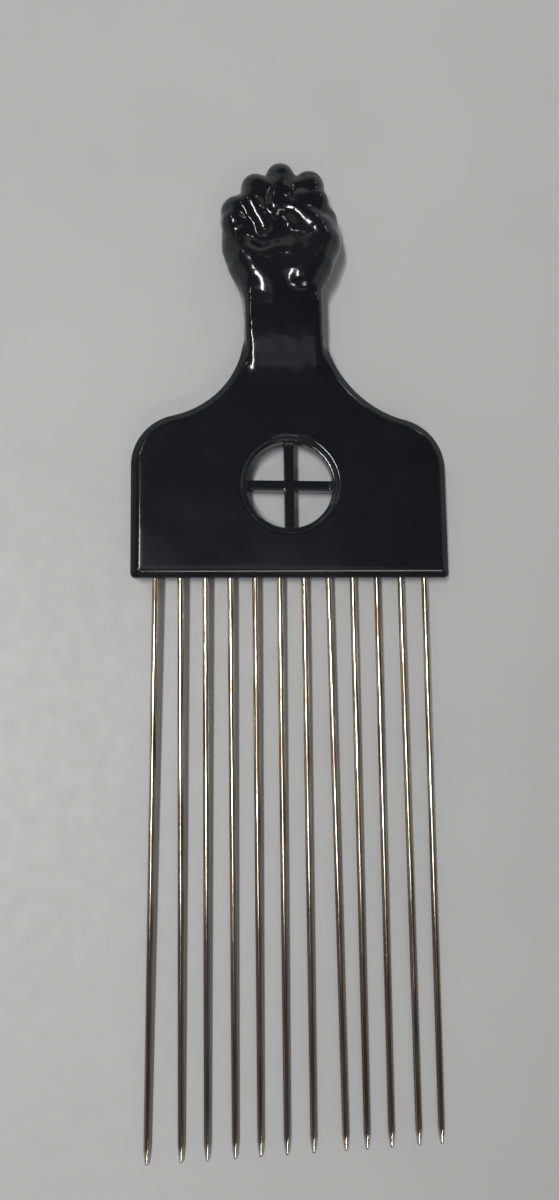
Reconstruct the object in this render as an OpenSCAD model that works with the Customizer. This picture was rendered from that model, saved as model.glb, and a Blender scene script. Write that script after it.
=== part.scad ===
// Afro pick: a moulded plastic handle that ends in a raised fist, with a row of wire tines.
// It lies on its back: X across, Y towards the fist, Z up. Lengths are in millimetres.

/* [Tines] */
// Distance between the axes of two neighbouring tines
tine_pitch = 6.01; // [5.2:0.01:6.4]
// Diameter of the wire
tine_d = 1.6; // [1.2:0.1:2]
// Free length of a tine, from the body to the tip
tine_out = 132; // [90:1:150]
// Length of the root that is moulded into the body
tine_root = 8.5; // [5:0.5:9.5]
// Length over which the tip tapers
tine_point = 3.4; // [2:0.2:6]
// Play between a root and its socket, all round
socket_play = 0.02; // [0.01:0.01:0.1]

/* [Body] */
// Width of the body
body_w = 78; // [74:1:90]
// Thickness of the body
body_t = 5.2; // [4.6:0.1:7]
// Width of the bevelled rim along the body's edge, seen from the front
rim_w = 2.1; // [1.4:0.1:3]
// How far the rim falls from each face to the edge
rim_drop = 1.2; // [0.6:0.1:1.8]
// Radius of the body's lower corners
corner_r = 1.2; // [0.6:0.1:2]
// Radius of the shoulders
shoulder_r = 13; // [10:0.5:16]
// Height of the straight sides above the lower edge
shoulder_y = 27.5; // [22:0.5:32]

/* [Window] */
// Diameter of the round window
window_d = 21.7; // [16:0.1:23]
// Height of the window's centre above the lower edge
window_y = 23.1; // [23:0.1:26]
// Sideways offset of the window, to the little finger's side
window_shift = 0.4; // [0:0.1:1]
// Width of the bevel round the window
bevel_w = 1.5; // [0.8:0.1:2.4]
// Depth of that bevel on each face
bevel_t = 1.4; // [0.6:0.1:2]
// Width of the two bars that cross in the window
bar_w = 2.4; // [1.5:0.1:4]
// Thickness of these bars
bar_t = 3; // [2:0.1:3.6]
// Depth of the bars' backs under the body's back
bar_back = 0.4; // [0.2:0.1:0.6]
// How far a bar's end reaches past the window's edge
bar_seat = 1; // [0.6:0.1:1.4]
// Length of the ramp at each end of a bar, inside the window
ramp_l = 1; // [0.4:0.1:2]
// How far this ramp rises over the bar
ramp_rise = 0.9; // [0.2:0.1:1.2]

/* [Wrist] */
// Width of the wrist at its narrowest place
neck_w = 20; // [16:0.5:24]
// Height of the narrowest place above the lower edge
neck_y = 64.4; // [58:0.2:70]
// Sideways offset of the wrist, to the little finger's side
neck_shift = 1.3; // [0:0.1:2]
// Height of the wrist's front over the mould seam
wrist_front = 5; // [4.5:0.1:6.5]
// Depth of the wrist's back under the mould seam
wrist_back = 5; // [4:0.1:6]
// Radius of the wrist's long edges
wrist_round = 2.1; // [1:0.1:4]
// Length over which the wrist runs out on the body
wrist_run = 20; // [16:0.5:22]
// How much narrower the wrist is at its lower end, on each side
wrist_draw = 0.4; // [0:0.1:2]
// How far its front sinks under the palm
wrist_sink = 3; // [1:0.1:4]
// Distance under the narrowest place at which the flat body starts to thin out
plate_end = 9; // [6:0.5:12]
// Length over which the flat body thins out
plate_fade = 13; // [10:0.5:16]
// Distance under the narrowest place at which the body's sides start to draw in under the wrist
tuck_end = 7; // [5:0.5:8]
// Length over which the sides draw in
tuck_fade = 8; // [6:0.5:10]
// Softness of the hollow between body and wrist
root_blend = 2.5; // [1:0.1:4]

/* [Fist] */
// Width of the fist
fist_w = 30; // [26:0.5:34]
// Length of the fist, from the narrowest place of the wrist
fist_l = 42; // [38:0.5:46]
// Thickness of the fist
fist_t = 15; // [13:0.2:17]
// Sideways offset of the fist, to the little finger's side
fist_shift = 1.8; // [1:0.1:2.6]
// Height of the edge that stays along the mould seam
seam_t = 0.5; // [0.3:0.1:0.8]
// Softness of the creases between two fingers
crease_blend = 1.3; // [0.5:0.1:2]
// Softness of the hollows between the palm's pads
pad_blend = 4; // [2:0.2:6]
// Softness of the hollow between palm and wrist
wrist_blend = 5; // [3:0.2:7]

/* [Hidden] */
// Overrun of a cut past the face that it starts from
cut = 1;

// Where each tip stands off its straight line, from left to right, in shares of the pitch
tip_lean_shares = [-0.28, -0.01, -0.04, 0.01, -0.03, -0.03, -0.02, 0.22, 0.04, -0.01, 0.065, -0.045];
tine_count = len(tip_lean_shares);
// Diameter of a tip in shares of the wire's
tip_share = 0.62;

// Distances from the body's edge at which the skin has its points, in shares of the rim's width
rim_shares = [1, 0.6, 0.3, 0.12, 0.03, 0];
// Steps from the middle to the rim, round the shoulder, round the neck, up the palm and round the fingers
inner_steps = 11;
shoulder_steps = 6;
neck_steps = 9;
palm_steps = 15;
finger_steps = 60;
halvings = 12;

// The fist's rounded forms, each a chain of round ends. An end is its place across in shares of fist_w,
// its place along in shares of fist_l, its height in shares of fist_t and its radius in shares of fist_w.
knuckle_shares = [
    [[0.245, 0.862, -0.2, 0.133], [0.245, 0.862, 0.13, 0.133]],
    [[0, 0.903, -0.2, 0.127], [0, 0.903, 0.15, 0.127]],
    [[-0.205, 0.83, -0.2, 0.13], [-0.205, 0.83, 0.13, 0.13]],
    [[-0.36, 0.69, -0.2, 0.14], [-0.36, 0.69, 0.08, 0.14]]];
// The first finger's two bones, then the other fingers from the knuckle to the tip
finger_shares = [
    [[0.25, 0.84, 0.18, 0.128], [0.25, 0.825, 0.22, 0.122]],
    [[0.17, 0.72, 0.27, 0.115], [0.29, 0.735, 0.25, 0.122]],
    [[0.005, 0.875, 0.22, 0.12], [-0.01, 0.79, 0.3, 0.108], [-0.05, 0.68, 0.3, 0.098], [-0.06, 0.58, 0.14, 0.09]],
    [[-0.205, 0.81, 0.2, 0.122], [-0.25, 0.71, 0.28, 0.106], [-0.145, 0.57, 0.25, 0.088]],
    [[-0.365, 0.67, 0.12, 0.13], [-0.385, 0.6, 0.2, 0.118], [-0.29, 0.565, 0.16, 0.1]]];
// The thumb: its ball, its two joints and its tip
thumb_shares = [[0.175, 0.285, 0.14, 0.155], [0.275, 0.39, 0.17, 0.17], [0.335, 0.5, 0.19, 0.15],
    [0.305, 0.565, 0.24, 0.13], [0.245, 0.605, 0.28, 0.113], [0.13, 0.66, 0.33, 0.092], [0.03, 0.69, 0.32, 0.078]];
// The hand's side under the thumb, the pad under the little finger, the palm's middle, what lies under
// the fingers, and the four bones of the back of the hand
pad_shares = [
    [[0.365, 0.67, 0, 0.135], [0.36, 0.53, 0.03, 0.155]],
    [[-0.11, 0.225, 0.12, 0.145], [-0.2, 0.285, 0.14, 0.15], [-0.27, 0.38, 0.14, 0.16], [-0.33, 0.48, 0.1, 0.14]],
    [[-0.1, 0.31, 0.12, 0.14], [0.14, 0.34, 0.13, 0.14], [0.08, 0.46, 0.13, 0.14], [-0.12, 0.42, 0.12, 0.14]],
    [[-0.29, 0.67, 0.06, 0.12], [-0.11, 0.79, 0.2, 0.118], [0.12, 0.81, 0.18, 0.12], [0.26, 0.74, 0.1, 0.13]],
    [[0.245, 0.86, -0.19, 0.13], [0.14, 0.5, -0.16, 0.13]],
    [[0, 0.9, -0.19, 0.125], [0, 0.5, -0.17, 0.125]],
    [[-0.205, 0.83, -0.19, 0.128], [-0.12, 0.5, -0.17, 0.125]],
    [[-0.36, 0.69, -0.18, 0.135], [-0.22, 0.45, -0.15, 0.13]]];
// The hollow between the pads, which is cut out of the palm
hollow_shares = [[-0.14, 0.52, 0.72, 0.2], [0, 0.55, 0.72, 0.2]];
// The palm under them: its centre along, its half width, its reach down and up, its front and its back
palm_at_share = 0.56;
palm_half_share = 0.497;
palm_down_share = 0.452;
palm_up_share = 0.286;
palm_front_share = 0.38;
palm_back_share = 0.413;
// Upper end of the wrist's bar, where its front starts to sink, and how soon it is down
wrist_top_share = 0.33;
sink_at_share = 0.1;
sink_run_share = 0.24;
// Half thickness of the bar's lower end in shares of the body's
bar_low_share = 0.6;
// How much of the wrist's bend the flat body follows
plate_follow_share = 0.75;
// The centre from which the fingers' end is drawn
fan_share = 0.5;

// Two tangent arcs lead from the body's straight side to the neck
body_half = body_w / 2;
neck_half = neck_w / 2;
shoulder_x = body_half - shoulder_r;
rise = neck_y - shoulder_y;
neck_r = (pow(neck_half - shoulder_x, 2) + rise * rise - shoulder_r * shoulder_r)
    / (2 * (shoulder_r - neck_half + shoulder_x));
turn = atan2(rise, neck_half + neck_r - shoulder_x);
meet_y = shoulder_y + shoulder_r * sin(turn);
run_y = neck_y - wrist_run;
fan_y = neck_y + fan_share * fist_l;

// The back of the middle knuckle is what the pick lies on
knuckle_back = -knuckle_shares[1][0][2] * fist_t + knuckle_shares[1][0][3] * fist_w;
fingers = [for (f = concat(knuckle_shares, finger_shares)) sized(f)];
thumb = sized(thumb_shares);
pads = [for (f = pad_shares) sized(f)];
hollow = sized(hollow_shares);
fist_top = fan_y + reach(90);
// The origin is under the middle of the whole pick
place = [0, (tine_out - fist_top) / 2, knuckle_back];

function within(t) = max(0, min(1, t));
function ease(t) = let (s = within(t)) s * s * (3 - 2 * s);
// The least of two gaps, rounded where they differ by less than reach
function blend(a, b, reach) = let (h = max(reach - abs(a - b), 0) / reach) min(a, b) - h * h * h * reach / 6;
// The ends of a chain, each as its centre and its radius
function sized(f) = [for (e = f)
    [[e[0] * fist_w - fist_shift, neck_y + e[1] * fist_l, e[2] * fist_t], e[3] * fist_w]];

// Gap from a point to a chain of round ends with straight flanks between them, less than zero inside it
function leg_gap(p, a, b) =
    let (along = b[0] - a[0], t = within((p - a[0]) * along / (along * along)))
    norm(p - a[0] - along * t) - a[1] - (b[1] - a[1]) * t;
function form_gap(p, f) = min([for (i = [1:len(f) - 1]) leg_gap(p, f[i - 1], f[i])]);
// A gap joined with those of a list of chains, one after the other
function joined(gap, p, chains, reach, i = 0) =
    i == len(chains) ? gap : joined(blend(gap, form_gap(p, chains[i]), reach), p, chains, reach, i + 1);
function palm_gap(p) =
    let (
        q = p - [-fist_shift, neck_y + palm_at_share * fist_l, 0],
        along = q[1] < 0 ? palm_down_share * fist_l : palm_up_share * fist_l,
        deep = q[2] > 0 ? palm_front_share * fist_t : palm_back_share * fist_t,
        half = palm_half_share * fist_w,
        u = [q[0] / half, q[1] / along, q[2] / deep],
        v = [u[0] / half, u[1] / along, u[2] / deep])
    norm(u) * (norm(u) - 1) / max(norm(v), 1 / fist_l / fist_l);
// The wrist is a bar with a flat front and rounded edges that sinks into the body and under the palm
function wrist_gap(p) =
    let (
        y = p[1],
        rise = ease((y - run_y) / wrist_run),
        low = body_t / 2 * bar_low_share,
        sink = wrist_sink * ease((y - neck_y - sink_at_share * fist_l) / (sink_run_share * fist_l)),
        front = low + (wrist_front - low) * rise - sink,
        back = low + (wrist_back - low) * rise,
        half = (front + back) / 2,
        round_r = min(wrist_round, half),
        a = abs(p[0] - axis_x(y)) - neck_half + wrist_draw * (1 - rise) + round_r,
        b = abs(p[2] - (front - back) / 2) - half + round_r)
    max(norm([max(a, 0), max(b, 0)]) + min(max(a, b), 0) - round_r, y - neck_y - wrist_top_share * fist_l);
function hand_gap(p) =
    let (
        palm = joined(palm_gap(p), p, pads, pad_blend),
        hollowed = -blend(-palm, form_gap(p, hollow), pad_blend),
        base = blend(blend(hollowed, wrist_gap(p), wrist_blend), form_gap(p, thumb), pad_blend))
    joined(base, p, fingers, crease_blend);
// Gap to the flat body with its bevelled rim, which thins out and draws in under the wrist
function plate_gap(p) =
    let (
        depth = plate_depth(p[0], p[1]),
        over = abs(p[2]) - body_t / 2 * left_over(p[1]),
        bevel = ((over + rim_drop) * rim_w - depth * rim_drop) / norm([rim_w, rim_drop]))
    max(over, bevel, -depth);
function moulding_gap(p) =
    p[1] > neck_y + plate_fade - plate_end ? hand_gap(p) : blend(plate_gap(p), hand_gap(p), root_blend);

// Half width of the body and neck, and how much wider a slanting rim looks along X
function plate_half(y) =
    y < corner_r ? body_half - corner_r + sqrt(corner_r * corner_r - pow(corner_r - y, 2))
    : y <= shoulder_y ? body_half
    : y <= meet_y ? shoulder_x + sqrt(shoulder_r * shoulder_r - pow(y - shoulder_y, 2))
    : y < neck_y ? neck_half + neck_r - sqrt(neck_r * neck_r - pow(neck_y - y, 2))
    : neck_half;
function slant(y) =
    y <= shoulder_y || y >= neck_y ? 1
    : y <= meet_y ? shoulder_r / sqrt(shoulder_r * shoulder_r - pow(y - shoulder_y, 2))
    : neck_r / sqrt(neck_r * neck_r - pow(neck_y - y, 2));
function axis_x(y) =
    -neck_shift * ease((y - meet_y) / (neck_y - meet_y))
    - (fist_shift - neck_shift) * ease((y - neck_y) / (fan_y - neck_y));
// The flat body follows this bend only in part
function plate_axis(y) = plate_follow_share * axis_x(y);
function left_over(y) = 1 - ease((y - neck_y + plate_end) / plate_fade);
// How far inside the outline a point lies
function plate_depth(x, y) =
    let (tuck = root_blend * ease((y - neck_y + tuck_end) / tuck_fade))
    min((plate_half(y) - abs(x - plate_axis(y))) / slant(y) - tuck, y);

// Halves the stretch from a to b, which starts inside the moulding and ends outside it
function crossing(a, b, n = halvings) =
    let (m = (a + b) / 2)
    n == 0 ? m : moulding_gap(m) < 0 ? crossing(m, b, n - 1) : crossing(a, m, n - 1);
function side_x(y, side) =
    y <= run_y ? plate_axis(y) + side * plate_half(y)
    : crossing([axis_x(y), y, 0], [axis_x(y) + side * body_half, y, 0])[0];
function reach(angle) =
    let (from = [-fist_shift, fan_y, 0])
    norm(crossing(from, from + fist_l * [cos(angle), sin(angle), 0]) - from);

// Height of the moulding's face over the seam, and of the edge itself
function edge_z(y) = seam_t / 2 + (body_t / 2 - rim_drop - seam_t / 2) * left_over(y);
function face_z(x, y, way) =
    let (
        flat = body_t / 2 - rim_drop * within(1 - plate_depth(x, y) / rim_w),
        z = y <= run_y ? flat : abs(crossing([x, y, 0], [x, y, way * fist_t])[2]),
        high = max(z, edge_z(y)))
    way > 0 ? high : min(high, knuckle_back);

// The moulding's skin: straight rows across from the lower edge to the palm, then rays round the fingers
side_cols = inner_steps + len(rim_shares) - 1;
row_cols = 2 * side_cols + 1;
row_ys = concat(
    [for (i = [len(rim_shares) - 1:-1:0]) rim_shares[i] * rim_w],
    [for (i = [0:shoulder_steps]) shoulder_y + shoulder_r * sin(turn * i / shoulder_steps)],
    [for (i = [1:neck_steps]) neck_y - neck_r * sin(turn * (1 - i / neck_steps))],
    [for (i = [1:palm_steps]) neck_y + (fan_y - neck_y) * i / palm_steps]);
last_row = len(row_ys) - 1;
function col_share(k, half, wide) =
    k <= inner_steps ? (1 - rim_shares[0] * rim_w * wide / half) * k / inner_steps
    : 1 - rim_shares[k - inner_steps] * rim_w * wide / half;
function skin_point(x, y, k, way) = [x, y, way * (k == side_cols ? edge_z(y) : face_z(x, y, way))];
function row_points(y, way) =
    let (mid = axis_x(y), ends = [side_x(y, -1), side_x(y, 1)])
    [for (i = [-side_cols:side_cols])
        let (
            half = abs(ends[i < 0 ? 0 : 1] - mid),
            x = mid + sign(i) * half * col_share(abs(i), half, slant(y)))
        skin_point(x, y, abs(i), way)];
function ray_points(angle, way) =
    let (far = reach(angle))
    [for (k = [1:side_cols])
        let (r = far * col_share(k, far, 1))
        skin_point(-fist_shift + r * cos(angle), fan_y + r * sin(angle), k, way)];
function skin_points(way) = concat(
    [for (y = row_ys) each row_points(y, way)],
    [for (s = [1:finger_steps - 1]) each ray_points(180 * s / finger_steps, way)]);
skin_count = row_cols * (last_row + 1) + side_cols * (finger_steps - 1);
function row_id(j, i) = j * row_cols + i;
function ray_id(s, k) =
    k == 0 ? row_id(last_row, side_cols)
    : s == 0 ? row_id(last_row, side_cols + k)
    : s == finger_steps ? row_id(last_row, side_cols - k)
    : row_cols * (last_row + 1) + (s - 1) * side_cols + k - 1;
// A four-cornered patch as two triangles, on the front, and turned over on the back
function patch(a, b, c, d) = [[a, b, c], [a, c, d]];
function front_faces() = concat(
    [for (j = [0:last_row - 1], i = [0:row_cols - 2])
        each patch(row_id(j, i), row_id(j + 1, i), row_id(j + 1, i + 1), row_id(j, i + 1))],
    [for (s = [0:finger_steps - 1]) [ray_id(s, 0), ray_id(s + 1, 1), ray_id(s, 1)]],
    [for (s = [0:finger_steps - 1], k = [1:side_cols - 1])
        each patch(ray_id(s, k), ray_id(s + 1, k), ray_id(s + 1, k + 1), ray_id(s, k + 1))]);
// The points along the outline, up the right side, round the fingers and down the left side
outline_ids = concat(
    [for (j = [0:last_row]) row_id(j, row_cols - 1)],
    [for (s = [1:finger_steps - 1]) ray_id(s, side_cols)],
    [for (j = [last_row:-1:0]) row_id(j, 0)],
    [for (i = [1:row_cols - 2]) row_id(0, i)]);
function edge_faces() = [for (n = [0:len(outline_ids) - 1])
    let (a = outline_ids[n], b = outline_ids[(n + 1) % len(outline_ids)])
    each patch(a, b, b + skin_count, a + skin_count)];

module skin() {
    front = front_faces();
    back = [for (f = front) [f[2], f[1], f[0]] + skin_count * [1, 1, 1]];
    polyhedron(concat(skin_points(1), skin_points(-1)), concat(front, back, edge_faces()));
}

// Places a child, drawn along +Z from the tip end's far side, on the line of one tine
module on_tine(i) {
    x = (i - (tine_count - 1) / 2) * tine_pitch;
    lean = atan2(tip_lean_shares[i] * tine_pitch, tine_out);
    translate([x, 0, 0]) rotate([0, 0, lean]) rotate([90, 0, 0]) children();
}

module window_cut() {
    wide = bevel_w * (1 + cut / bevel_t);
    cylinder(h = body_t + 2 * cut, d = window_d, center = true, $fn = 96);
    for (way = [0, 180])
        rotate([way, 0, 0]) translate([0, 0, body_t / 2 - bevel_t])
            cylinder(h = bevel_t + cut, d1 = window_d, d2 = window_d + 2 * wide, $fn = 96);
}

// One bar along X, with a ramp at each end that rises into the bevel
module window_bar() {
    far = window_d / 2 + bar_seat;
    near = window_d / 2 - ramp_l;
    low = bar_back - body_t / 2;
    top = low + bar_t;
    right = [[far, low], [far, top + ramp_rise], [near, top]];
    left = [[-near, top], [-far, top + ramp_rise], [-far, low]];
    rotate([90, 0, 0]) linear_extrude(height = bar_w, center = true) polygon(concat(right, left));
}

module window_bars() {
    window_bar();
    rotate([0, 0, 90]) window_bar();
}

module handle() {
    color([0.06, 0.06, 0.07]) translate(place) {
        difference() {
            skin();
            translate([-window_shift, window_y, 0]) window_cut();
            for (i = [0:tine_count - 1])
                on_tine(i) translate([0, 0, -tine_root])
                    cylinder(h = tine_root + cut, d = tine_d + 2 * socket_play, $fn = 24);
        }
        translate([-window_shift, window_y, 0]) window_bars();
    }
}

module tine(i) {
    tip_r = tip_share * tine_d / 2;
    tip_arc = [for (a = [0:22.5:90]) [tip_r * cos(a), tine_out - tip_r * (1 - sin(a))]];
    outline = concat([[0, -tine_root], [tine_d / 2, -tine_root], [tine_d / 2, tine_out - tine_point]], tip_arc);
    color([0.78, 0.77, 0.74]) translate(place) on_tine(i)
        rotate_extrude($fn = 24) polygon(outline);
}

handle();
tine(0);  // tine_01
tine(1);  // tine_02
tine(2);  // tine_03
tine(3);  // tine_04
tine(4);  // tine_05
tine(5);  // tine_06
tine(6);  // tine_07
tine(7);  // tine_08
tine(8);  // tine_09
tine(9);  // tine_10
tine(10);  // tine_11
tine(11);  // tine_12
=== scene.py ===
"""An afro pick: a black moulded handle that ends in a raised fist, with twelve nickel-plated wire tines.

The handle is one smooth skin. It is the zero surface of a field that says how far a point lies from the
moulding, built up from the same rounded forms as the solid: a flat body with a bevelled rim and a round
window, a wrist, a palm, four curled fingers and a thumb.
Until a mesh is made, lengths are millimetres in the handle's own frame: x across, y from the body's lower
edge towards the fist, z up from the mould seam. Blender's objects are in metres, in the row frame.
"""
import math

import bmesh
import bpy
import numpy as np
import openvdb
from mathutils import Euler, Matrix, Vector


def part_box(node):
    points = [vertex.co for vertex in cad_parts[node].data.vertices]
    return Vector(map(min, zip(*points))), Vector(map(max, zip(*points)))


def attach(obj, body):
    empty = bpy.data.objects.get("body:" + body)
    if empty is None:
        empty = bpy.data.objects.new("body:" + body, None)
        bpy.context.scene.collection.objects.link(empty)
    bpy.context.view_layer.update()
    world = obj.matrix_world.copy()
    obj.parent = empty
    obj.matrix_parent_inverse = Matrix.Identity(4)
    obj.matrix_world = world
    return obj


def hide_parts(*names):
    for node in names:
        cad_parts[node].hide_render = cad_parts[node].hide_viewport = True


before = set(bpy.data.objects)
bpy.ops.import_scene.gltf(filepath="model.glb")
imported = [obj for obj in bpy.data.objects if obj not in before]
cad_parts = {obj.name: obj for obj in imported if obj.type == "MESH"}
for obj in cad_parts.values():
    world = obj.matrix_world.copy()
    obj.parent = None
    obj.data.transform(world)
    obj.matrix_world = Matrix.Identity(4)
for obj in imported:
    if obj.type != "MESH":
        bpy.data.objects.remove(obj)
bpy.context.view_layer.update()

MM = 0.001
BODY = "root"

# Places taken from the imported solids
wire_low, wire_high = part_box("tine_05")
handle_low, handle_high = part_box("handle")
SEAM_Z = (wire_low.z + wire_high.z) / 2
LOWER_EDGE_Y = handle_low.y
WIRE_END_Y = wire_low.y

# The body, whose rim falls by the drop over its width
BODY_W = 78.0
BODY_T = 5.2
RIM_W = 2.1
RIM_DROP = 1.2
CORNER_R = 1.2
SHOULDER_R = 13.0
SHOULDER_Y = 27.5
EDGE_SOFT = 0.11

# The window with its bevel, a bead along its edge, and two bars that cross in it with ramps at their ends
WINDOW_D = 21.7
WINDOW_Y = 23.1
WINDOW_SHIFT = 0.4
BEVEL_W = 1.5
BEVEL_T = 1.4
BEAD_R = 0.35
BEAD_Z = 1.25
BEAD_SOFT = 2 * EDGE_SOFT
BAR_W = 2.4
BAR_T = 3.0
BAR_BACK = 0.4
BAR_SEAT = 1.0
BAR_SOFT = 3 * EDGE_SOFT
RAMP_L = 1.0
RAMP_RISE = 0.9

# The wrist. The flat body thins out under it, and its sides draw in. Both start at the named distance (END)
# below the wrist's narrowest place and take up the named length (FADE)
NECK_W = 20.0
NECK_Y = 64.4
NECK_SHIFT = 1.3
PLATE_END = 9.0
PLATE_FADE = 13.0
TUCK_END = 7.0
TUCK_FADE = 8.0
PLATE_FOLLOW_SHARE = 0.75
ROOT_BLEND = 2.5
WRIST_FRONT = 5.0
WRIST_BACK = 5.0
WRIST_RUN = 20.0
WRIST_ROUND = 2.1
WRIST_DRAW = 0.4
# Its front sinks under the palm: how far, and in shares of the fist's length from where, over what length,
# and where the wrist ends
WRIST_SINK = 3.0
SINK_AT_SHARE = 0.1
SINK_RUN_SHARE = 0.24
WRIST_TOP_SHARE = 0.33
# Half the thickness of its lower end, in shares of the body's
WRIST_LOW_SHARE = 0.6
# Where its form ends and where the hand is looked for, below the narrowest place, in shares of its run
WRIST_CUT_SHARE = 1.2
HAND_START_SHARE = 1.3

# The fist, and how softly its forms meet
FIST_W = 30.0
FIST_L = 42.0
FIST_T = 15.0
FIST_SHIFT = 1.8
FAN_SHARE = 0.5
CREASE_BLEND = 2.0
PAD_BLEND = 4.0
WRIST_BLEND = 5.0

# Three slow swells on the hand: their height, and how far the skin is set in for them. Each one's rates, in
# radians per mm, are along the axes that its name gives. The first swell also sways with x
WAVE_H = 0.03
WAVE_INSET = 0.22
FIRST_YZ = (1.1, 0.6)
SWAY = 0.9
SWAY_RATE = 0.7
SECOND_SHARE = 0.8
SECOND_XY = (1.5, -0.5)
SECOND_PHASE = 1.3
THIRD_SHARE = 0.5
THIRD_XYZ = (-1.2, 2.3, 0.8)

# The wires
TINE_PITCH = 6.01
TINE_D = 1.6
TINE_OUT = 132.0
TINE_ROOT = 8.5
TINE_POINT = 3.4
TIP_SHARE = 0.62
# Where each tip stands off its straight line, from left to right, in shares of the pitch
TIP_LEAN_SHARES = [-0.28, -0.01, -0.04, 0.01, -0.03, -0.03, -0.02, 0.22, 0.04, -0.01, 0.065, -0.045]
TINE_COUNT = len(TIP_LEAN_SHARES)
# A wire's mesh: its sides, the rings along its shaft and their distance from root and taper, the rings
# along the taper in shares of it, and the rings round the end by their angle
WIRE_SIDES = 32
SHAFT_RINGS = 40
ROOT_STEP = 0.5
TAPER_STEP = 0.3
TAPER_SHARES = (0.1, 0.3, 0.5, 0.7, 0.9, 1)
END_ANGLES = (20, 40, 60, 75, 90)

# The fist's rounded forms, each a chain of round ends: across in shares of the fist's width, along in
# shares of its length, height in shares of its thickness, and radius in shares of its width
KNUCKLE_SHARES = [
    [(0.245, 0.862, -0.2, 0.133), (0.245, 0.862, 0.13, 0.133)],
    [(0, 0.903, -0.2, 0.127), (0, 0.903, 0.15, 0.127)],
    [(-0.205, 0.83, -0.2, 0.13), (-0.205, 0.83, 0.13, 0.13)],
    [(-0.36, 0.69, -0.2, 0.14), (-0.36, 0.69, 0.08, 0.14)],
]
# The first finger's two bones, then the other fingers from the knuckle to the tip
FINGER_SHARES = [
    [(0.25, 0.84, 0.18, 0.128), (0.25, 0.825, 0.22, 0.122)],
    [(0.17, 0.72, 0.27, 0.115), (0.29, 0.735, 0.25, 0.122)],
    [(0.005, 0.875, 0.22, 0.12), (-0.01, 0.79, 0.3, 0.108), (-0.05, 0.68, 0.3, 0.098),
     (-0.06, 0.58, 0.14, 0.09)],
    [(-0.205, 0.81, 0.2, 0.122), (-0.25, 0.71, 0.28, 0.106), (-0.145, 0.57, 0.25, 0.088)],
    [(-0.365, 0.67, 0.12, 0.13), (-0.385, 0.6, 0.2, 0.118), (-0.29, 0.565, 0.16, 0.1)],
]
# The thumb: its ball, its two joints and its tip
THUMB_SHARES = [
    (0.175, 0.285, 0.14, 0.155), (0.275, 0.39, 0.17, 0.17), (0.335, 0.5, 0.19, 0.15),
    (0.305, 0.565, 0.24, 0.13), (0.245, 0.605, 0.28, 0.113), (0.13, 0.66, 0.33, 0.092),
    (0.03, 0.69, 0.32, 0.078),
]
# The hand's side under the thumb, the pad under the little finger, the palm's middle, what lies under
# the fingers, and the four bones of the back of the hand
PAD_SHARES = [
    [(0.365, 0.67, 0, 0.135), (0.36, 0.53, 0.03, 0.155)],
    [(-0.11, 0.225, 0.12, 0.145), (-0.2, 0.285, 0.14, 0.15), (-0.27, 0.38, 0.14, 0.16),
     (-0.33, 0.48, 0.1, 0.14)],
    [(-0.1, 0.31, 0.12, 0.14), (0.14, 0.34, 0.13, 0.14), (0.08, 0.46, 0.13, 0.14),
     (-0.12, 0.42, 0.12, 0.14)],
    [(-0.29, 0.67, 0.06, 0.12), (-0.11, 0.79, 0.2, 0.118), (0.12, 0.81, 0.18, 0.12),
     (0.26, 0.74, 0.1, 0.13)],
    [(0.245, 0.86, -0.19, 0.13), (0.14, 0.5, -0.16, 0.13)],
    [(0, 0.9, -0.19, 0.125), (0, 0.5, -0.17, 0.125)],
    [(-0.205, 0.83, -0.19, 0.128), (-0.12, 0.5, -0.17, 0.125)],
    [(-0.36, 0.69, -0.18, 0.135), (-0.22, 0.45, -0.15, 0.13)],
]
# The hollow between the pads, which is cut out of the palm
HOLLOW_SHARES = [(-0.14, 0.52, 0.72, 0.2), (0.0, 0.55, 0.72, 0.2)]
# The palm: its centre along, its half width, its reach down and up, its front and its back
PALM_AT_SHARE = 0.56
PALM_HALF_SHARE = 0.497
PALM_DOWN_SHARE = 0.452
PALM_UP_SHARE = 0.286
PALM_FRONT_SHARE = 0.38
PALM_BACK_SHARE = 0.413

# Two tangent arcs lead from the body's straight side to the neck
BODY_HALF = BODY_W / 2
NECK_HALF = NECK_W / 2
SHOULDER_X = BODY_HALF - SHOULDER_R
RISE = NECK_Y - SHOULDER_Y
NECK_R = ((NECK_HALF - SHOULDER_X) ** 2 + RISE ** 2 - SHOULDER_R ** 2) \
    / (2 * (SHOULDER_R - NECK_HALF + SHOULDER_X))
TURN = math.atan2(RISE, NECK_HALF + NECK_R - SHOULDER_X)
MEET_Y = SHOULDER_Y + SHOULDER_R * math.sin(TURN)
FAN_Y = NECK_Y + FAN_SHARE * FIST_L

# The skin's mesh: its cells, the room round the handle, how flat a stretch is before its cells are joined,
# and how high over the seam the skin is looked for, in shares of the fist's thickness
VOXEL = 0.3
MARGIN = 0.9
FLATNESS = 0.02
SKIN_TOP_SHARE = 0.7
# How often each point is pulled onto the surface, how far at most, the least squared slope that a pull
# reckons with, and the step over which the slope is measured
PULLS = 4
LONGEST_PULL = 0.5 * VOXEL
LEAST_STEEP = 0.2
PROBE = 0.02
# What keeps a division from zero, and the distance in metres under which two points are one
TINY = 1e-6
SAME_POINT = 1e-7

# The camera, fitted to the body's sides and the wires in the photograph: its place and its turn in
# radians, its lens, and in metres how near and how far it sees
CAMERA_AT = (-22.482, -25.744, 192.745)
CAMERA_TURN = (0.106625, -0.098348, -0.014308)
SENSOR_W = 36
LENS = 24
NEAREST = 0.01
FARTHEST = 20

# The table, in metres: half its width, how far it stays clear of the pick, and the number of steps in
# which it is tilted until it lies under both fist and wires
FLOOR_HALF = 6.0
FLOOR_PLAY = 0.00003
TILTS = 4
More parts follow.
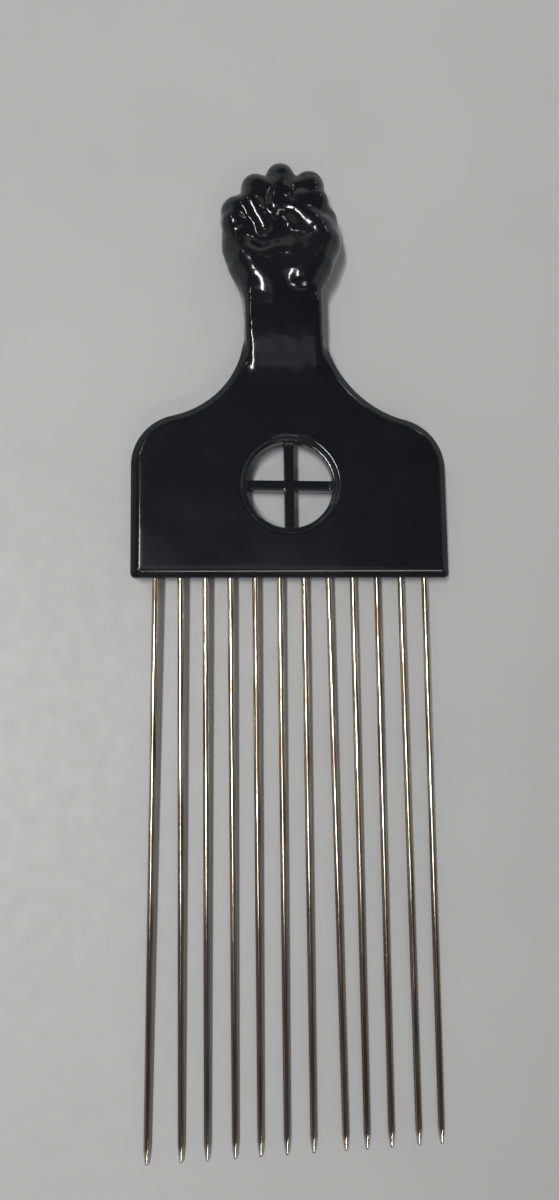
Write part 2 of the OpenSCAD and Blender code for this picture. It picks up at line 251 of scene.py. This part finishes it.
# Painted shade: it turns from pale to dark along a way, between two distances, and takes on the room's
# colour farther off
FLOOR_PALE = (0.5, 0.5, 0.5)
FLOOR_SHADED = (0.37, 0.367, 0.367)
SHADE_WAY = (0.75, -0.66, 0)
SHADE = (-0.05, 0.25)
HAZE = (0.2, 0.9)

# The soft boxes' distance in metres, and for each one its direction from the pick, its size in shares of the
# distance, the power that it would need at one metre, and its colour
LIGHT_FAR = 2.4
LIGHTS = {
    "main_low": ((-0.31, -0.17, 0.95), (0.25, 0.07), 2.0, (1, 1, 1)),
    "main_middle": ((-0.31, -0.04, 0.95), (0.25, 0.07), 2.3, (1, 1, 1)),
    "main_high": ((-0.31, 0.09, 0.95), (0.25, 0.07), 2.3, (1, 1, 1)),
    "overhead": ((0.06, -0.12, 0.99), (0.36, 0.46), 0.18, (0.9, 0.95, 1)),
    "upper_left_far": ((-0.5, 0.53, 0.7), (0.05, 0.02), 0.16, (1, 1, 1)),
    "upper_left_near": ((-0.5, 0.42, 0.77), (0.05, 0.03), 0.2, (1, 1, 1)),
    "upper_right": ((0.5, 0.66, 0.56), (0.045, 0.045), 0.22, (1, 1, 1)),
    "low": ((0.16, -0.64, 0.75), (0.5, 0.03), 0.8, (1, 1, 1)),
}
# The room's colour by the height of a direction, 0 at the horizon and 1 straight up, the two ends first
SKY = [
    (0.0, (0.46, 0.46, 0.46)),
    (1.0, (0.16, 0.165, 0.18)),
    (0.34, (0.44, 0.44, 0.44)),
    (0.55, (0.12, 0.11, 0.1)),
    (0.93, (0.1, 0.098, 0.098)),
]


def ease(t):
    """0 below 0, 1 above 1, and a smooth rise between."""
    s = np.clip(t, 0, 1)
    return s * s * (3 - 2 * s)


def soft_min(gaps, r):
    """The least of several gaps, rounded where two are alike."""
    least = gaps[0]
    for g in gaps[1:]:
        least = np.minimum(least, g)
    return least - r * np.log(sum(np.exp((least - g) / r) for g in gaps))


def soft_max(gaps, r):
    """The greatest of several gaps, rounded where two are alike."""
    return -soft_min([-g for g in gaps], r)


def blend(a, b, reach):
    """The least of two gaps, rounded where they differ by less than reach."""
    h = np.maximum(reach - np.abs(a - b), 0) / reach
    return np.minimum(a, b) - h ** 3 * (reach / 6)


def place_of(end):
    """An end's centre and radius in mm, from its shares."""
    across, along, height, radius = end
    centre = np.array([across * FIST_W - FIST_SHIFT, NECK_Y + along * FIST_L, height * FIST_T])
    return centre, radius * FIST_W


def form_gap(p, ends):
    """Gap to a chain of round ends with straight flanks between them."""
    least = None
    for start, stop in zip(ends, ends[1:]):
        (a, ra), (b, rb) = place_of(start), place_of(stop)
        along = (b - a).astype(np.float32)
        q = p - a.astype(np.float32)
        t = np.clip(q @ along / (along @ along), 0, 1)
        q -= t[:, None] * along
        gap = np.sqrt(np.einsum("ij,ij->i", q, q)) - ra - (rb - ra) * t
        least = gap if least is None else np.minimum(least, gap)
    return least


def palm_gap(p):
    """Gap to the palm: an egg with its own reach down, up, to the front and to the back."""
    q = p - np.array([-FIST_SHIFT, NECK_Y + PALM_AT_SHARE * FIST_L, 0], np.float32)
    half = np.empty_like(q)
    half[:, 0] = PALM_HALF_SHARE * FIST_W
    half[:, 1] = np.where(q[:, 1] < 0, PALM_DOWN_SHARE, PALM_UP_SHARE) * FIST_L
    half[:, 2] = np.where(q[:, 2] > 0, PALM_FRONT_SHARE, PALM_BACK_SHARE) * FIST_T
    u = q / half
    k = np.linalg.norm(u, axis=1)
    return k * (k - 1) / np.maximum(np.linalg.norm(u / half, axis=1), TINY)


def wrist_gap(p):
    """Gap to the wrist: a bar with a flat front and rounded edges that sinks into body and palm."""
    x = np.abs(p[:, 0] - axis_x(p[:, 1]))
    y, z = p[:, 1], p[:, 2]
    rise = ease((y - NECK_Y + WRIST_RUN) / WRIST_RUN)
    low = BODY_T / 2 * WRIST_LOW_SHARE
    sink = WRIST_SINK * ease((y - NECK_Y - SINK_AT_SHARE * FIST_L) / (SINK_RUN_SHARE * FIST_L))
    front = low + (WRIST_FRONT - low) * rise - sink
    back = low + (WRIST_BACK - low) * rise
    mid, half = (front - back) / 2, (front + back) / 2
    round_r = np.minimum(WRIST_ROUND, half)
    a = x - NECK_W / 2 + WRIST_DRAW * (1 - rise) + round_r
    b = np.abs(z - mid) - half + round_r
    flat = np.hypot(np.maximum(a, 0), np.maximum(b, 0)) + np.minimum(np.maximum(a, b), 0) - round_r
    above = y - NECK_Y - WRIST_TOP_SHARE * FIST_L
    below = NECK_Y - WRIST_RUN * WRIST_CUT_SHARE - y
    return np.maximum(np.maximum(flat, above), below)


def waves(p):
    """Slow swells of a hand-cut mould, in mm."""
    x, y, z = p.T
    first = np.sin(FIRST_YZ[0] * y + SWAY * np.sin(SWAY_RATE * x) + FIRST_YZ[1] * z)
    second = np.sin(SECOND_XY[0] * x + SECOND_XY[1] * y + SECOND_PHASE)
    third = np.sin(THIRD_XYZ[0] * x + THIRD_XYZ[1] * y + THIRD_XYZ[2] * z)
    return WAVE_H * (first + SECOND_SHARE * second + THIRD_SHARE * third)


def hand_gap(p):
    """Gap to the hand and its wrist, with every form blended into what is under it."""
    gap = palm_gap(p)
    for pad in PAD_SHARES:
        gap = blend(gap, form_gap(p, pad), PAD_BLEND)
    gap = -blend(-gap, form_gap(p, HOLLOW_SHARES), PAD_BLEND)
    gap = blend(gap, wrist_gap(p), WRIST_BLEND)
    gap = blend(gap, form_gap(p, THUMB_SHARES), PAD_BLEND)
    for finger in KNUCKLE_SHARES + FINGER_SHARES:
        gap = blend(gap, form_gap(p, finger), CREASE_BLEND)
    return gap + waves(p) + WAVE_INSET


def axis_x(y):
    """The handle's middle line, which bends to the little finger's side."""
    return (-NECK_SHIFT * ease((y - MEET_Y) / (NECK_Y - MEET_Y))
            - (FIST_SHIFT - NECK_SHIFT) * ease((y - NECK_Y) / (FAN_Y - NECK_Y)))


def outline_depth(x, y):
    """How far inside the body's outline a point lies, seen from the front."""
    a = np.abs(x - PLATE_FOLLOW_SHARE * axis_x(y))
    at_shoulder = (y > SHOULDER_Y) & (np.arctan2(y - SHOULDER_Y, a - SHOULDER_X) < TURN)
    on_shoulder = SHOULDER_R - np.hypot(a - SHOULDER_X, y - SHOULDER_Y)
    on_neck = np.hypot(a - NECK_HALF - NECK_R, y - NECK_Y) - NECK_R
    side = np.where(y <= SHOULDER_Y, BODY_HALF - a, np.where(at_shoulder, on_shoulder, on_neck))
    side = np.where(y > NECK_Y, NECK_HALF - a, side)
    side = side - ROOT_BLEND * ease((y - NECK_Y + TUCK_END) / TUCK_FADE)
    corner = CORNER_R - np.hypot(a - BODY_HALF + CORNER_R, y - CORNER_R)
    in_corner = (a > BODY_HALF - CORNER_R) & (y < CORNER_R)
    return np.where(in_corner, corner, np.minimum(side, y))


def bevelled(depth, z, half_t, wide, drop):
    """Gap to a plate's edge: its face, a bevel that falls by drop over wide, and an upright edge."""
    slope = math.hypot(wide, drop)
    face = np.abs(z) - half_t
    bevel = ((np.abs(z) - half_t + drop) * wide - depth * drop) / slope
    return soft_max([face, bevel, -depth], EDGE_SOFT)


def plate_gap(p):
    """Gap to the flat body with its window. It thins out and draws in under the wrist."""
    x, y, z = p.T
    thin = BODY_T / 2 * ease((y - NECK_Y + PLATE_END) / PLATE_FADE)
    outside = bevelled(outline_depth(x, y), np.abs(z) + thin, BODY_T / 2, RIM_W, RIM_DROP)
    u, v = x + WINDOW_SHIFT, y - WINDOW_Y
    rho = np.hypot(u, v)
    hole = bevelled(rho - WINDOW_D / 2, z, BODY_T / 2, BEVEL_W, BEVEL_T)
    bead = np.hypot(rho - WINDOW_D / 2 - BEAD_R, z - BEAD_Z) - BEAD_R
    low = BAR_BACK - BODY_T / 2
    whole = blend(soft_max([outside, hole], EDGE_SOFT), bead, BEAD_SOFT)
    for across, along in ((u, np.abs(v)), (v, np.abs(u))):
        top = low + BAR_T + RAMP_RISE * ease((along - WINDOW_D / 2 + RAMP_L) / (RAMP_L + BAR_SEAT))
        sides = [np.abs(across) - BAR_W / 2, z - top, low - z, along - WINDOW_D / 2 - BAR_SEAT]
        whole = blend(whole, soft_max(sides, EDGE_SOFT), BAR_SOFT)
    # Beyond the stretch over which it fades, the body is gone
    return np.where(y > NECK_Y + PLATE_FADE - PLATE_END, FIST_W, whole)


def handle_gap(p):
    """Gap from each point to the whole moulding, less than zero inside it."""
    gap = plate_gap(p)
    near_hand = p[:, 1] > NECK_Y - WRIST_RUN * HAND_START_SHARE
    if near_hand.any():
        q = p[near_hand]
        gap[near_hand] = blend(gap[near_hand], hand_gap(q), ROOT_BLEND)
        gap[near_hand] = soft_max([gap[near_hand], -SEAM_Z / MM - q[:, 2]], EDGE_SOFT)
    return gap


def gap_slope(p):
    """The field's gradient, by differences along the three axes."""
    slope = np.empty_like(p)
    for k in range(3):
        shift = np.zeros(3, np.float32)
        shift[k] = PROBE
        slope[:, k] = (handle_gap(p + shift) - handle_gap(p - shift)) / (2 * PROBE)
    return slope


def add_object(name, data):
    """A new object with this data, in the scene."""
    thing = bpy.data.objects.new(name, data)
    bpy.context.scene.collection.objects.link(thing)
    return thing


def new_mesh(name, points, faces):
    """A mesh in the row frame, from points in mm of the handle's frame."""
    x, y, z = points.T
    mesh = bpy.data.meshes.new(name)
    places = np.stack([x * MM, y * MM + LOWER_EDGE_Y, z * MM + SEAM_Z], 1)
    mesh.from_pydata(places.tolist(), [], faces)
    mesh.update()
    return mesh


def handle_skin():
    """The moulding's skin: cells round the zero surface, then each point pulled onto it."""
    top_y = (handle_high.y - LOWER_EDGE_Y) / MM
    low = np.array([-BODY_HALF, 0, -SEAM_Z / MM]) - MARGIN
    high = np.array([BODY_HALF, top_y, FIST_T * SKIN_TOP_SHARE]) + MARGIN
    counts = np.ceil((high - low) / VOXEL).astype(int) + 1
    xs, ys, zs = (low[k] + VOXEL * np.arange(counts[k]) for k in range(3))
    values = np.empty(counts, np.float32)
    layer = np.stack(np.meshgrid(ys, zs, indexing="ij"), -1).reshape(-1, 2)
    for i, x in enumerate(xs):
        p = np.empty((len(layer), 3), np.float32)
        p[:, 0] = x
        p[:, 1:] = layer
        values[i] = handle_gap(p).reshape(counts[1:])
    grid = openvdb.FloatGrid(MARGIN)
    grid.copyFromArray(values)
    points, triangles, quads = grid.convertToPolygons(isovalue=0.0, adaptivity=FLATNESS)
    points = (low + points * VOXEL).astype(np.float32)
    for _ in range(PULLS):
        slope = gap_slope(points)
        steep = np.maximum(np.einsum("ij,ij->i", slope, slope), LEAST_STEEP)
        move = -(handle_gap(points) / steep)[:, None] * slope
        far = np.linalg.norm(move, axis=1, keepdims=True)
        points += move * np.minimum(1, LONGEST_PULL / np.maximum(far, TINY))
    normals = gap_slope(points)
    normals /= np.linalg.norm(normals, axis=1, keepdims=True)
    mesh = new_mesh("moulded_handle", points, triangles.tolist() + quads.tolist())
    mesh.shade_smooth()
    mesh.normals_split_custom_set_from_vertices(normals.tolist())
    return add_object(mesh.name, mesh)


def wire_stations():
    """The rings of a wire, each as its distance from the body's edge and its radius."""
    r, tip_r = TINE_D / 2, TINE_D / 2 * TIP_SHARE
    taper = TINE_OUT - TINE_POINT
    stations = [(-TINE_ROOT, 0), (-TINE_ROOT, r)]
    stations += [(s, r) for s in np.linspace(-TINE_ROOT + ROOT_STEP, taper - TAPER_STEP, SHAFT_RINGS)]
    stations += [(taper + (TINE_POINT - tip_r) * t, r + (tip_r - r) * t) for t in TAPER_SHARES]
    for angle in END_ANGLES:
        a = math.radians(angle)
        stations.append((TINE_OUT - tip_r + tip_r * math.sin(a), tip_r * math.cos(a)))
    return stations


def tine_wire(i):
    """One wire: rings along its axis, which leans a little, a tapered point and a round end."""
    x = (i - (TINE_COUNT - 1) / 2) * TINE_PITCH
    lean = math.atan2(TIP_LEAN_SHARES[i] * TINE_PITCH, TINE_OUT)
    stations = wire_stations()
    points = []
    for s, radius in stations:
        for k in range(WIRE_SIDES):
            t = 2 * math.pi * k / WIRE_SIDES
            across = radius * math.cos(t)
            points.append((x + s * math.sin(lean) + across * math.cos(lean),
                           -s * math.cos(lean) + across * math.sin(lean), radius * math.sin(t)))
    faces = []
    for j in range(len(stations) - 1):
        for k in range(WIRE_SIDES):
            a, b = j * WIRE_SIDES + k, j * WIRE_SIDES + (k + 1) % WIRE_SIDES
            faces.append((a, b, b + WIRE_SIDES, a + WIRE_SIDES))
    mesh = new_mesh(f"wire_{i + 1:02d}", np.array(points), faces)
    bm = bmesh.new()
    bm.from_mesh(mesh)
    bmesh.ops.remove_doubles(bm, verts=bm.verts, dist=SAME_POINT)
    bmesh.ops.recalc_face_normals(bm, faces=bm.faces)
    bm.to_mesh(mesh)
    bm.free()
    mesh.shade_smooth()
    return add_object(mesh.name, mesh)


class Finish:
    """A material that is put together from procedural nodes. Lengths are given to it in mm."""

    def __init__(self, name):
        self.material = bpy.data.materials.new(name)
        self.material.use_nodes = True
        self.nodes, self.links = self.material.node_tree.nodes, self.material.node_tree.links
        self.shader = self.nodes["Principled BSDF"]
        self.place = self.nodes.new("ShaderNodeTexCoord").outputs["Object"]

    def noise(self, grain, stretch=(1, 1, 1), detail=2.0):
        """Noise with grains of this size, drawn out along the axes by the stretch."""
        mapping = self.nodes.new("ShaderNodeMapping")
        mapping.inputs["Scale"].default_value = [1 / (grain * MM * s) for s in stretch]
        self.links.new(self.place, mapping.inputs["Vector"])
        texture = self.nodes.new("ShaderNodeTexNoise")
        texture.inputs["Scale"].default_value = 1.0
        texture.inputs["Detail"].default_value = detail
        self.links.new(mapping.outputs["Vector"], texture.inputs["Vector"])
        return texture.outputs["Fac"]

    def spread(self, value, low, high, start=0.3, end=0.7):
        """A value between start and end, where most noise lies, spread over the range from low to high."""
        node = self.nodes.new("ShaderNodeMapRange")
        for key, number in (("From Min", start), ("From Max", end), ("To Min", low), ("To Max", high)):
            node.inputs[key].default_value = number
        self.links.new(value, node.inputs["Value"])
        return node.outputs["Result"]

    def mix(self, share, a, b):
        """Colour a where the share is 0 and colour b where it is 1. Either may come from a node."""
        node = self.nodes.new("ShaderNodeMix")
        node.data_type = "RGBA"
        for socket, colour in ((node.inputs[6], a), (node.inputs[7], b)):
            if isinstance(colour, bpy.types.NodeSocket):
                self.links.new(colour, socket)
            else:
                socket.default_value = (*colour, 1)
        self.links.new(share, node.inputs["Factor"])
        return node.outputs[2]

    def add(self, value, factor, base):
        """The value times the factor, added to the base."""
        node = self.nodes.new("ShaderNodeMath")
        node.operation = "MULTIPLY_ADD"
        node.inputs[1].default_value = factor
        self.links.new(value, node.inputs[0])
        self.links.new(base, node.inputs[2])
        return node.outputs[0]

    def bump(self, height, depth, under=None):
        """A normal that follows this height, on top of the bump under it."""
        node = self.nodes.new("ShaderNodeBump")
        node.inputs["Strength"].default_value = 1.0
        node.inputs["Distance"].default_value = depth * MM
        self.links.new(height, node.inputs["Height"])
        if under:
            self.links.new(under, node.inputs["Normal"])
        return node.outputs["Normal"]

    def put(self, **values):
        """Links outputs, or sets plain numbers and colours, on the shader's sockets."""
        for key, value in values.items():
            socket = self.shader.inputs[key.replace("_", " ")]
            if isinstance(value, bpy.types.NodeSocket):
                self.links.new(value, socket)
            else:
                socket.default_value = value
        return self.material


def black_plastic():
    """Glossy black plastic that has been handled: slow swells, a few duller patches and fine scratches."""
    f = Finish("black_plastic")
    dull = f.spread(f.noise(grain=11, detail=4), low=0.1, high=0.17)
    scratches = f.spread(f.noise(grain=0.2, stretch=(1, 9, 1), detail=1), low=0, high=1, start=0.7, end=0.8)
    rough = f.add(scratches, factor=0.05, base=dull)
    swell = f.bump(f.noise(grain=7, detail=1), depth=0.06)
    grain = f.bump(f.noise(grain=0.6), depth=0.0012, under=swell)
    deep, pale = (0.0035, 0.0045, 0.0065), (0.006, 0.007, 0.0095)
    colour = f.mix(f.spread(f.noise(grain=20), low=0, high=1), deep, pale)
    return f.put(Base_Color=colour, Roughness=rough, Normal=grain, IOR=1.5)


def nickel_wire():
    """Bright nickel plating, drawn lengthwise, in bronze, with a painted straw-coloured reflection near the
    handle and a painted highlight at the tip.
    """
    # Painted reflection: the wires are paler and straw-coloured between these two distances below the
    # handle. Painted highlight: brighter over the last length at the tip
    sheen_from, sheen_to, glint_l = 85 * MM, 20 * MM, 4 * MM
    dark_bronze, pale_bronze = (0.16, 0.125, 0.1), (0.34, 0.29, 0.24)
    sheen_dark, sheen_pale = (0.12, 0.08, 0.045), (0.7, 0.63, 0.51)
    # Painted highlight: the colour that brightens the tip
    glint_colour = (0.66, 0.64, 0.6)
    f = Finish("nickel_wire")
    split = f.nodes.new("ShaderNodeSeparateXYZ")
    f.links.new(f.place, split.inputs["Vector"])
    # Painted reflection: a share that rises towards the handle
    near = f.spread(split.outputs["Y"], 0, 1, LOWER_EDGE_Y - sheen_from, LOWER_EDGE_Y - sheen_to)
    # Painted highlight: a share that rises towards the tip's end
    tip_glint = f.spread(split.outputs["Y"], 1, 0, WIRE_END_Y, WIRE_END_Y + glint_l)
    streaks = f.noise(grain=0.3, stretch=(1, 60, 1), detail=3)
    bronze = f.mix(f.spread(streaks, low=0, high=1), dark_bronze, pale_bronze)
    straw_sheen = f.mix(f.spread(streaks, low=0, high=1, start=0.4, end=0.56), sheen_dark, sheen_pale)
    colour = f.mix(tip_glint, f.mix(near, bronze, straw_sheen), glint_colour)
    grooves = f.bump(f.noise(grain=0.25, stretch=(1, 150, 1)), depth=0.005)
    rough = f.spread(f.noise(grain=0.9, stretch=(1, 12, 1)), low=0.08, high=0.17)
    return f.put(Base_Color=colour, Metallic=1.0, Normal=grooves, Roughness=rough)


def pale_floor():
    """A pale table with a faint tooth and painted shade that darkens it along one way. Far away it takes on
    the room's colour.
    """
    f = Finish("pale_floor")
    # Painted shade: darker along SHADE_WAY
    corner = f.nodes.new("ShaderNodeVectorMath")
    corner.operation = "DOT_PRODUCT"
    corner.inputs[1].default_value = SHADE_WAY
    f.links.new(f.place, corner.inputs[0])
    colour = f.mix(f.spread(corner.outputs["Value"], 0, 1, *SHADE), FLOOR_PALE, FLOOR_SHADED)
    colour = f.mix(f.spread(f.noise(grain=50, detail=5), low=0, high=0.05), colour, (0, 0, 0))
    rough = f.spread(f.noise(grain=4), low=0.5, high=0.65)
    tooth = f.bump(f.noise(grain=1.2, detail=4), depth=0.03)
    material = f.put(Base_Color=colour, Roughness=rough, Normal=tooth)
    far = f.nodes.new("ShaderNodeVectorMath")
    far.operation = "LENGTH"
    f.links.new(f.place, far.inputs[0])
    haze = f.nodes.new("ShaderNodeEmission")
    haze.inputs["Color"].default_value = (*SKY[0][1], 1)
    both = f.nodes.new("ShaderNodeMixShader")
    f.links.new(f.spread(far.outputs["Value"], 0, 1, *HAZE), both.inputs[0])
    f.links.new(f.shader.outputs[0], both.inputs[1])
    f.links.new(haze.outputs[0], both.inputs[2])
    f.links.new(both.outputs[0], f.nodes["Material Output"].inputs["Surface"])
    return material


def add_camera():
    """The photograph's viewpoint."""
    data = bpy.data.cameras.new("camera")
    data.sensor_width = SENSOR_W
    data.lens = LENS
    data.clip_start = NEAREST
    data.clip_end = FARTHEST
    camera = add_object("camera", data)
    x, y, z = CAMERA_AT
    camera.location = (x * MM, y * MM + LOWER_EDGE_Y, z * MM + SEAM_Z)
    camera.rotation_euler = Euler(CAMERA_TURN, "XYZ")
    bpy.context.scene.camera = camera


def add_floor(pieces):
    """The table: the plane, sloping along Y alone, on which the fist and the ends of the wires lie."""
    points = np.concatenate([[(v.co.y, v.co.z) for v in piece.data.vertices] for piece in pieces])
    wires, fist = points[points[:, 0] < 0], points[points[:, 0] > LOWER_EDGE_Y + NECK_Y * MM]
    slope = 0
    for _ in range(TILTS):
        y, z = wires[np.argmin(wires[:, 1] - slope * wires[:, 0])]
        slope = ((fist[:, 1] - z) / (fist[:, 0] - y)).min()
    ends = [(end_y, z + (end_y - y) * slope - FLOOR_PLAY) for end_y in (-FLOOR_HALF, FLOOR_HALF)]
    corners = [(x, end_y, end_z) for end_y, end_z in ends for x in (-FLOOR_HALF, FLOOR_HALF)]
    mesh = bpy.data.meshes.new("floor")
    mesh.from_pydata(corners, [], [(0, 1, 3, 2)])
    floor = add_object("floor", mesh)
    floor.data.materials.append(pale_floor())


def add_light(name, way, size, power, colour):
    """A soft box at a distance, turned to the pick and unseen by the camera."""
    data = bpy.data.lights.new(name, "AREA")
    data.shape = "RECTANGLE"
    data.size, data.size_y = [s * LIGHT_FAR for s in size]
    data.energy = power * LIGHT_FAR ** 2
    data.color = colour
    light = add_object(name, data)
    light.location = Vector(way).normalized() * LIGHT_FAR
    light.rotation_euler = (-light.location).to_track_quat("-Z", "Y").to_euler()
    light.visible_camera = False


def add_world():
    """A room that is pale near the horizon and darker and warmer above."""
    world = bpy.data.worlds.new("studio")
    world.use_nodes = True
    nodes, links = world.node_tree.nodes, world.node_tree.links
    split = nodes.new("ShaderNodeSeparateXYZ")
    links.new(nodes.new("ShaderNodeTexCoord").outputs["Generated"], split.inputs["Vector"])
    ramp = nodes.new("ShaderNodeValToRGB")
    ramp.color_ramp.interpolation = "EASE"
    # A new ramp has its two ends already
    stops = ramp.color_ramp.elements
    stop_count = len(stops)
    for k, (height, colour) in enumerate(SKY):
        stop = stops[k] if k < stop_count else stops.new(height)
        stop.position = height
        stop.color = (*colour, 1)
    links.new(split.outputs["Z"], ramp.inputs["Fac"])
    links.new(ramp.outputs["Color"], nodes["Background"].inputs["Color"])
    bpy.context.scene.world = world


add_camera()

handle = handle_skin()
handle.data.materials.append(black_plastic())
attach(handle, BODY)
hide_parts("handle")

pieces = [handle]
wire_finish = nickel_wire()
for i in range(TINE_COUNT):
    wire = tine_wire(i)
    wire.data.materials.append(wire_finish)
    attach(wire, BODY)
    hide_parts(f"tine_{i + 1:02d}")
    pieces.append(wire)

add_floor(pieces)
for name, (way, size, power, colour) in LIGHTS.items():
    add_light(name, way, size, power, colour)
add_world()
bpy.context.scene.view_settings.view_transform = "Standard"
